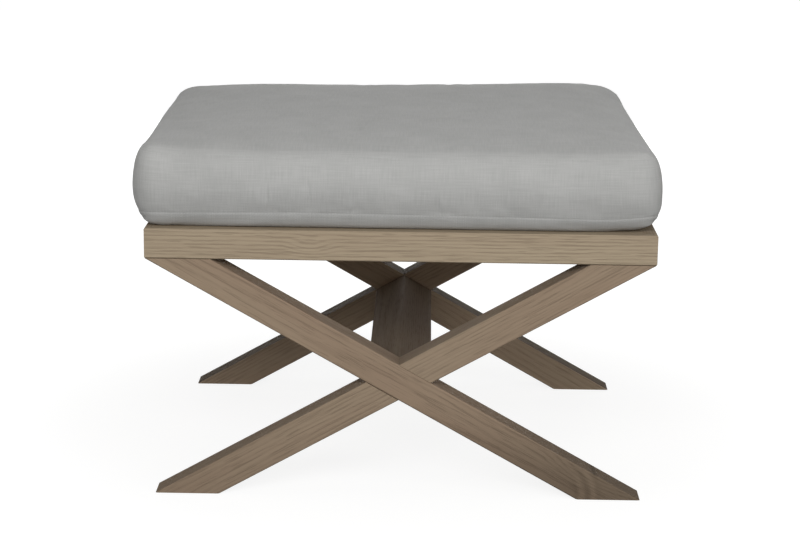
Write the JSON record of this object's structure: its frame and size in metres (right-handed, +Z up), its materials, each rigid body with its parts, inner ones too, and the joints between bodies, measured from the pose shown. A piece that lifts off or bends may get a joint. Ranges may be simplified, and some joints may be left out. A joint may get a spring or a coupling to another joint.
{
  "type": "ottoman",
  "caption": "Footstool with crossed oak legs at front and back, joined by a diamond bar, a mitred seat frame and a loose zipped box cushion.",
  "frame": {"origin": "on the floor, under the middle of the whole object", "axes": "+X across the front, to the right of someone who faces it; +Y to the back; +Z up"},
  "size_m": [0.6616, 0.5496, 0.4632],
  "materials": {
    "oak": "weathered, open grain, matt",
    "plywood": "sanded birch plywood",
    "pine": "sawn and planed",
    "beech": "turned",
    "steel": "zinc plated",
    "linen": "plain woven grey linen",
    "foam": "open cell foam in a fibre wrap",
    "zip_tape": "woven polyester tape",
    "nylon": "moulded nylon coil",
    "zinc": "cast zinc, tumbled"
  },
  "bodies": {
    "frame": {"back_leg_lapped": "oak", "back_leg_through": "oak", "back_rail": "oak", "block_screw_back_left_long": "steel", "block_screw_back_left_short": "steel", "block_screw_back_right_long": "steel", "block_screw_back_right_short": "steel", "block_screw_front_left_long": "steel", "block_screw_front_left_short": "steel", "block_screw_front_right_long": "steel", "block_screw_front_right_short": "steel", "corner_block_back_left": "pine", "corner_block_back_right": "pine", "corner_block_front_left": "pine", "corner_block_front_right": "pine", "deck_screw_back_left": "steel", "deck_screw_back_middle": "steel", "deck_screw_back_right": "steel", "deck_screw_front_left": "steel", "deck_screw_front_middle": "steel", "deck_screw_front_right": "steel", "front_leg_lapped": "oak", "front_leg_through": "oak", "front_rail": "oak", "left_rail": "oak", "leg_dowel_back_left_inner": "beech", "leg_dowel_back_left_outer": "beech", "leg_dowel_back_right_inner": "beech", "leg_dowel_back_right_outer": "beech", "leg_dowel_front_left_inner": "beech", "leg_dowel_front_left_outer": "beech", "leg_dowel_front_right_inner": "beech", "leg_dowel_front_right_outer": "beech", "mitre_tongue_back_left": "plywood", "mitre_tongue_back_right": "plywood", "mitre_tongue_front_left": "plywood", "mitre_tongue_front_right": "plywood", "right_rail": "oak", "seat_deck": "plywood", "stretcher": "oak", "stretcher_dowel_back_left": "beech", "stretcher_dowel_back_right": "beech", "stretcher_dowel_front_left": "beech", "stretcher_dowel_front_right": "beech"},
    "cushion": {"foam_core": "foam", "cover_top": "linen", "cover_bottom": "linen", "cover_band": "linen", "cover_back_strip_upper": "linen", "cover_back_strip_lower": "linen", "zip_tape_upper": "zip_tape", "zip_tape_lower": "zip_tape", "zip_teeth_upper": "nylon", "zip_teeth_lower": "nylon", "zip_stop_closed": "zinc", "zip_stop_open": "zinc"},
    "zip_slider": {"zip_slider": "zinc"},
    "zip_pull": {"zip_pull": "zinc"}
  },
  "joints": [
    {"name": "cushion_lift", "type": "slide", "parent": "frame", "child": "cushion", "axis": [0, 0, 1], "range_m": [0, 0.25]},
    {"name": "zip_slide", "type": "slide", "parent": "cushion", "child": "zip_slider", "axis": [-1, 0, 0], "range_m": [0, 0.433]},
    {"name": "pull_flip", "type": "hinge", "parent": "zip_slider", "child": "zip_pull", "pos_m": [0.2165, 0.27104, 0.4028], "axis": [0, 0, -1], "range_deg": [0, 165]}
  ]
}
